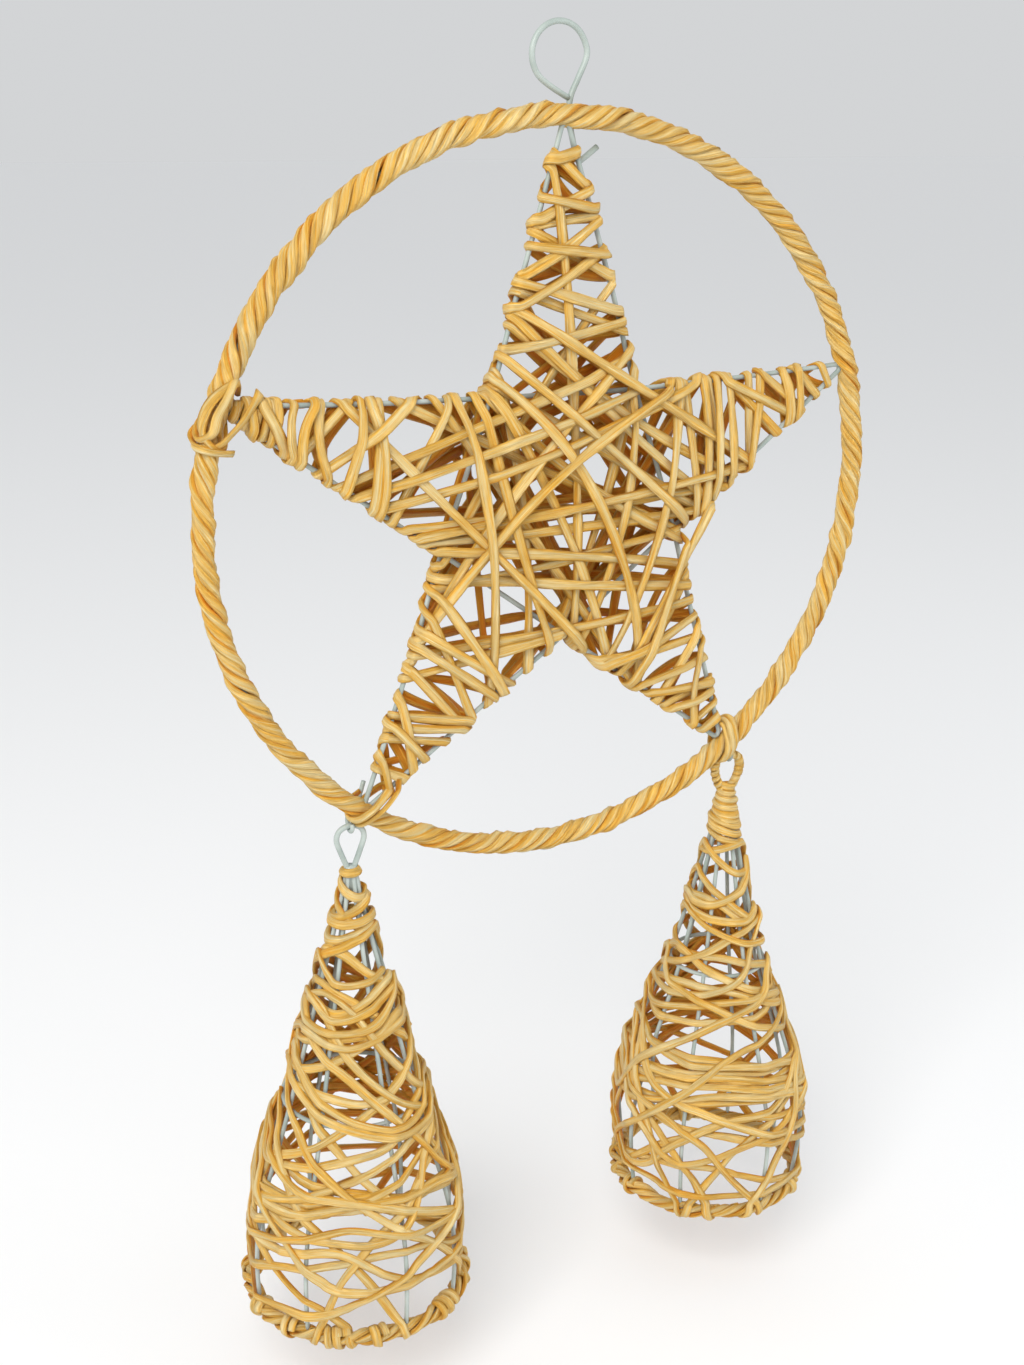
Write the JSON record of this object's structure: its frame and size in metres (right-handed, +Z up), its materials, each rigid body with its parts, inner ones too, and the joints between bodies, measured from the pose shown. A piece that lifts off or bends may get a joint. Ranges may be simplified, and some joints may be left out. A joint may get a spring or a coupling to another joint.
{
  "type": "hanging star ornament",
  "caption": "Hanging wall ornament: a cord-wound star set in a round hoop, with wound wire bells below and a wire ring to hang it by.",
  "frame": {"origin": "inside top of the hanger ring, where the nail bears", "axes": "+Z up, the star's face towards -Y, +X to the right of someone looking at the face"},
  "size_m": [0.3904, 0.1294, 0.6774],
  "materials": {
    "painted_wire": "thin pale grey-green paint on round wire, softly glossy, a little worn",
    "wound_cord": "flattened honey-coloured cord with fine lengthwise fibre streaks and creases, lightly varnished"
  },
  "bodies": {
    "root": {"hanger_ring": "painted_wire", "hoop_wire": "painted_wire", "hoop_winding": "wound_cord", "star_frame": "painted_wire", "star_winding": "wound_cord", "left_bell_hook": "painted_wire", "right_bell_hook": "painted_wire", "left_bell_frame": "painted_wire", "right_bell_frame": "painted_wire", "left_bell_winding": "wound_cord", "right_bell_winding": "wound_cord"}
  },
  "joints": []
}
